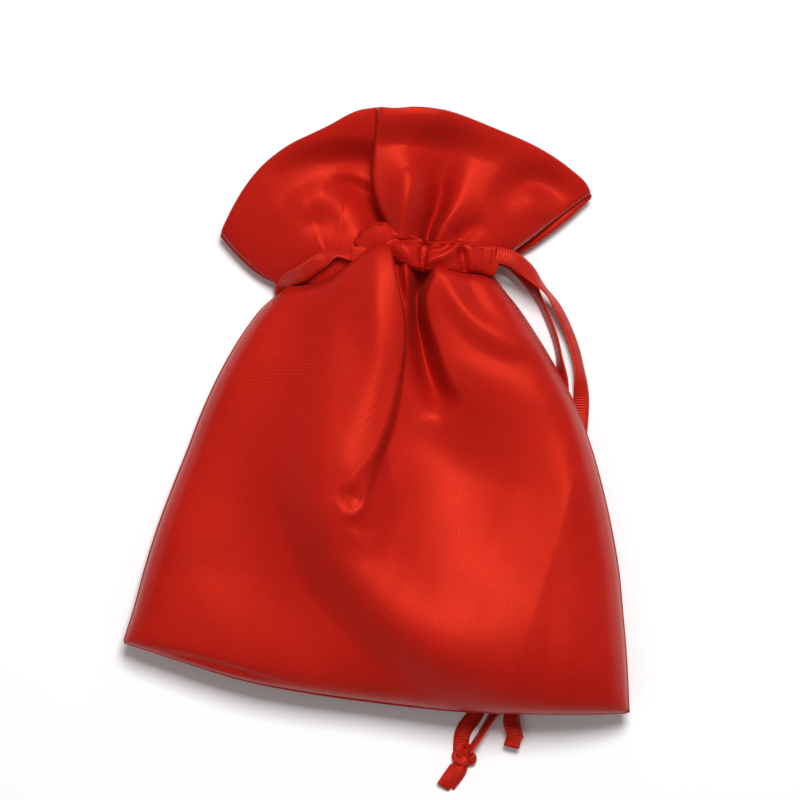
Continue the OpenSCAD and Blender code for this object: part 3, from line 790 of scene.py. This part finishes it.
def stitches(name, line, outward, nodes):
    """A row of lock stitches along a line on the cloth: beads of thread one pitch apart. Each follows the
    line, is as thick as the root of half a sine wave, and dips into the cloth at both ends."""
    along = np.concatenate([[0], np.cumsum(np.linalg.norm(np.diff(line, axis=0), axis=1))])
    count = int((along[-1] - 2 * UNSEWN_END) / STITCH_PITCH)
    t = np.linspace(0, 1, 7)
    sides = 6
    ring = np.linspace(0, 2 * np.pi, sides, endpoint=False)
    at = (UNSEWN_END + np.arange(count) * STITCH_PITCH)[:, None] + STITCH_LENGTH * t
    p = np.stack([np.interp(at, along, line[:, k]) for k in range(3)], -1)
    out = np.stack([np.interp(at, along, outward[:, k]) for k in range(3)], -1)
    ahead = np.gradient(p, axis=1)
    ahead /= np.linalg.norm(ahead, axis=-1, keepdims=True)
    side = np.cross(out, ahead)
    swell = np.sin(np.pi * np.clip(t, 0.03, 0.97)) ** 0.5
    p = p + out * (0.24 * swell - 0.14)[:, None]
    r = THREAD_R * swell[:, None]
    points = (
        p[:, :, None]
        + side[:, :, None] * (r * np.cos(ring))[..., None]
        + out[:, :, None] * (r * np.sin(ring))[..., None]
    ).reshape(-1, 3)
    n = len(t) * sides
    first = n * np.arange(count)[:, None, None]
    faces = (steps_between(len(t), sides, True)[None] + first).reshape(-1, 4)
    caps = np.concatenate([np.arange(sides)[None, ::-1], np.arange(n - sides, n)[None]])
    caps = (caps[None] + first).reshape(-1, sides)
    uv = np.stack(np.broadcast_arrays(at[:, :, None], 2 * THREAD_R * ring), -1).reshape(-1, 2)
    piece = make_piece(name, points, [*faces, *caps], uv, thread)
    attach(piece, "sack")
    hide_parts(*nodes)


def sew(casing_points, degrees, name, nodes):
    """A row of stitches along a casing at one place round it, in degrees from the edge nearer the mouth
    and going up over its top."""
    k = degrees * CASING_RING // 360
    inside = casing_points[3:-3]
    line = inside[:, k]
    round_it = inside[:, (k + 1) % CASING_RING] - inside[:, k - 1]
    outward = np.cross(round_it, np.gradient(line, axis=0))
    outward /= np.linalg.norm(outward, axis=1)[:, None]
    stitches(name, line, outward, nodes)


front_casing, surface = casing(
    "front_casing_cloth",
    [
        (-4, 38.2), (-0.6, 41.2), (3, 40.8), (6.7, 38.2), (10.4, 36.6), (15, 36.4), (20, 36.4),
        (24.5, 35.6), (28.4, 34),
    ],
    half=[2.4, 3.2, 3.6, 3.8, 3.6, 3.8, 3.8, 3.2, 2.6],
    low=[9.4, 10.2, 10.5, 10.5, 10.5, 10.5, 10.2, 9.6, 8.8],
    tall=[3.2, 3.6, 3.8, 4, 3.8, 4, 3.8, 3.6, 3.2],
    puffs=[
        ([(4.5, 40), (6.6, 37.6), (8.4, 34.6)], [1.2, 1.8, 1.2], 2.4),
        ([(10.6, 33.2), (12, 35.2), (15, 36.6), (19.6, 39)], [1.5, 2.2, 2.2, 1], 1.5),
        ([(12, 38.6), (15.5, 39.6), (19, 40)], [0.8, 1.2, 0.6], 1.2),
        ([(22, 38.4), (23, 34.6)], [1.2, 1], 1.6),
    ],
    creases=[
        ([(11.8, 41.4), (10.9, 37), (10.6, 33), (10.2, 30)], [2.8, 2.8, 2.4, 2.4], 0.9),
        ([(12.6, 37.4), (15.4, 38), (18.6, 40.6)], [1, 1.6, 1], 0.8),
        ([(19.8, 37.6), (20.6, 33)], [1.6, 1.2], 0.9),
        ([(3.4, 40.2), (6.6, 40.4), (9.4, 39.9)], [1.2, 1.4, 1.2], 0.7),
    ],
)
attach(front_casing, "sack")
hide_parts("front_casing")
sew(surface, 45, "front_upper_stitch_row", ["front_upper_stitches"])
sew(surface, 135, "front_lower_stitch_row", ["front_lower_stitches"])

gathers = [
    ([(px, 32), (px + 0.8 * math.sin(px), 42)], 0.7 + 0.3 * math.sin(3 * px), 0.9)
    for px in range(-14, 28, 3)
]
back_casing, surface = casing(
    "back_casing_cloth", [(px, RIBBON_Y) for px in (-18, -6, 5, 16, 28)],
    half=[3.9, 4.25, 4.25, 4.25, 3.9], low=1.4, tall=3.5, puffs=[], creases=gathers, face=-1,
)
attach(back_casing, "sack")
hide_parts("back_casing")
sew(surface, 315, "back_upper_stitch_row", ["back_upper_stitches"])
sew(surface, 225, "back_lower_stitch_row", ["back_lower_stitches"])


# ---- Frill -------------------------------------------------------------------------------------------
# The double cloth above the casings, folded over at its top edge. Let out from the gathers, it opens into
# three lobes: a hollow left one, a full middle one that laps over it, and a right one with a dished tip.
ROOT_LEFT_Z = 4.2
ROOT_RIGHT_Z = 6.2
ROOT_TOP_Z = 12.6
RIM_Z = 4.8
LOBE_RISE = 11

root_line = [
    (-21.4, 28.6), (-14, 29), (-8, 32), (-3, 36.5), (2, 40.6), (7, 40.6), (11.6, 40.2), (16, 40.2),
    (21, 39.4), (26, 37.4), (29.2, 35.6),
]
left_edge = [(-21.4, 28.6), (-28.6, 33.4), (-33.8, 38.2), (-37, 42)]
right_edge = [(29.2, 35.6), (36.6, 41), (41, 44.4), (45.4, 47.8), (50.4, 51.4)]
top_line = [
    (-37, 42), (-34.2, 47.6), (-31.4, 52.3), (-27.6, 57), (-21.7, 61.7), (-11.8, 66.6), (-3.2, 70.6),
    (0, 71), (4, 70.7), (9, 71), (14, 70.6), (27.8, 66.2), (38.5, 61.5), (45.3, 57), (49.6, 53),
    (50.4, 51.4),
]
v, u = shares(120, 200, crowd=0.25, middle=0.5)
x, y = patch(root_line, top_line, left_edge, right_edge, u, v)
arch = np.maximum(0, np.sin(np.pi * u)) ** 0.6
root_rise = np.maximum(0, np.sin(np.pi * u)) ** mix(1.0, 0.45, ease(u / 0.6))
root_z = mix(mix(ROOT_LEFT_Z, ROOT_RIGHT_Z, ease((u - 0.6) / 0.4)), ROOT_TOP_Z, root_rise)
lobe_z = RIM_Z + arch * LOBE_RISE * (0.5 + 0.5 * bell((u - 0.54) / 0.2))
frill = [x.copy(), y.copy(), mix(root_z, lobe_z, ease(v)) + 1.6 * arch * np.sin(np.pi * v)]
# The top edge curls up a little all the way.
frill[2] += 1.8 * arch * ease((v - 0.72) / 0.28)
# Middle lobe lapped over the left one.
lobe_fold = [(0.4, 77), (0.4, 71), (0, 66), (-0.8, 60), (-0.8, 54), (0.4, 48.6), (2.4, 43.8), (4, 39)]
fold(
    frill, lobe_fold, drop=[1.6, 2.2, 3, 4.4, 5, 5, 4, 3], width=[3, 2.4, 2, 2, 2, 2, 2, 2],
    reach=[6, 7, 8, 9, 8, 6, 5, 5], lap=0.9,
)
# Left lobe: two steps down from the rim into the hollow, then a soft roll.
in_left_lobe = ease(beside(lobe_fold, x, y)[0] * -1 / 3 + 0.5)
fold(frill, [(-28, 56), (-20, 60), (-10, 61.6), (4, 61)], [0, 2, 4, 4.4], 6.5, 18, only=in_left_lobe)
fold(frill, [(-13, 54.6), (-6.5, 54.6), (0, 51.4), (4, 48)], [0, 2.2, 2.6, 2.6], 3.4, 7, only=in_left_lobe)
ridge(frill, [(-20, 46.5), (-14.5, 50.4), (-8, 51), (-3.6, 47.4), (-3, 43)], [0.3, 1, 1.1, 1, 0.6], 3.4)
ridge(frill, [(-14.5, 44), (-10.5, 44)], -0.9, 3)
# Middle lobe: one full ridge rising from the gathers, and a deep valley on its right.
ridge(frill, [(5.6, 40), (6.4, 46), (7.6, 54), (9, 62)], [3.4, 4.6, 3.2, 0], [3, 3.6, 4.6, 5])
ridge(
    frill, [(11.2, 38), (12.4, 43), (14.2, 48), (15, 54), (13.6, 61), (10, 65)],
    [-5, -5.6, -5.4, -4.2, -2, 0], [1.1, 1.4, 2, 3, 6, 8],
)
fold(
    frill, [(-10, 64), (-2, 65.2), (6, 65.8), (14, 65.6), (22, 63.6), (30, 59.4)],
    drop=[0, 1.4, 2.8, 3, 1.6, 0], width=8, reach=26, only=1 - in_left_lobe,
)
# Right lobe: a ridge from the gathers, a hollow below it, and the dished tip.
ridge(frill, [(13.8, 39), (16, 44.4), (19.4, 49), (25, 54)], [1.8, 2, 0.6, 0], [2, 2.6, 3.6, 5])
ridge(frill, [(19.4, 41), (22.6, 43.6), (26, 45)], [-1.6, -1.4, 0], 2.2)
ridge(frill, [(28, 48.5), (32, 52.6), (37, 54.4), (42, 52.4), (46, 48)], [0, -1.6, -2.6, -1.8, 0], 3.6)
frill[2] += unevenness(x, y, 0.12, 11, 18) * arch
frill_front = sheet_mesh("front_frill_cloth", frill, CLOTH_T, satin)
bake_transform(frill_front)
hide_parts("front_frill")

under_root = [(-21.4, 29.2), (-10, 33), (4, 36), (18, 36.6), (29.2, 35)]
under_right = [(29.2, 35), (36.9, 39.4), (40.2, 41.9), (44.4, 45.2), (50.6, 50.8)]
under_left = [(-21.4, 29.2), (-28.4, 33), (-33.6, 37.8), (-37, 41.7)]
under_top = [(px, py - 0.7) for px, py in top_line[1:-1]]
under_top = [(-37, 41.7), *under_top, (50.6, 50.8)]
v, u = shares(90, 130)
x, y = patch(under_root, under_top, under_left, under_right, u, v)
arch = np.maximum(0, np.sin(np.pi * u))
flat_z = mix(3, 0.4, ease(np.minimum(u, 1 - u) / 0.16))
under = [x, y, mix(mix(3.2, 1.6, ease((u - 0.6) / 0.4)), flat_z, ease(v / 0.6)) + CLOTH_T]
# The gathers fan out from the casing as seven soft flutes.
for root_x, top_x in ((-12, -27), (-7, -18), (-2, -9), (4, 1), (10, 10), (17, 21), (23, 32)):
    ridge(under, [(root_x, 41), (mix(root_x, top_x, 0.5), 50), (top_x, 61)], [0.4, 2.6, 2.6, 1], 1.9)
frill_back = sheet_mesh("back_frill_cloth", under, CLOTH_T, satin)
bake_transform(frill_back)
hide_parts("back_frill")


# ---- Turned-in edges ---------------------------------------------------------------------------------
# Inside the sack the raw edges of both cuts stand in beside the seams, overlocked together with thread.
# They keep their CAD shapes: the frill's two show at the corners of the mouth, the others are hidden. The
# thread's loops are drawn as slanting bands 1.6 mm apart.
raw_edge, tree, shader = new_material("overlocked_satin_edge")
place = add(tree, "ShaderNodeTexCoord")
to_mm = add(tree, "ShaderNodeMapping", [(place.outputs["Object"], "Vector")], scale=(1000, 1000, 1000))
loops = add(
    tree, "ShaderNodeTexWave", [(to_mm.outputs["Vector"], "Vector")],
    bands_direction="DIAGONAL", scale=0.22, distortion=1.5, detail=2,
)
fray = add(tree, "ShaderNodeTexNoise", [(to_mm.outputs["Vector"], "Vector")], scale=1.2, detail=5)
both = add(
    tree, "ShaderNodeMath", [(loops.outputs["Fac"], 0), (fray.outputs["Fac"], 1)], operation="MULTIPLY",
)
tone = add(tree, "ShaderNodeValToRGB", [(both.outputs[0], "Fac")])
tone.color_ramp.elements[0].color = linear("#74100b")
tone.color_ramp.elements[1].color = linear("#b3201a")
tree.links.new(tone.outputs["Color"], shader.inputs["Base Color"])
matt = add(tree, "ShaderNodeMapRange", [(fray.outputs["Fac"], "Value")], to_min=0.55, to_max=0.8)
tree.links.new(matt.outputs["Result"], shader.inputs["Roughness"])
relief = add(tree, "ShaderNodeBump", [(both.outputs[0], "Height")], strength=0.7, distance=0.0003)
tree.links.new(relief.outputs["Normal"], shader.inputs["Normal"])
for node in ("left_side_seam", "right_side_seam", "bottom_seam", "left_frill_seam", "right_frill_seam"):
    for material_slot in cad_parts[node].material_slots:
        material_slot.material = raw_edge
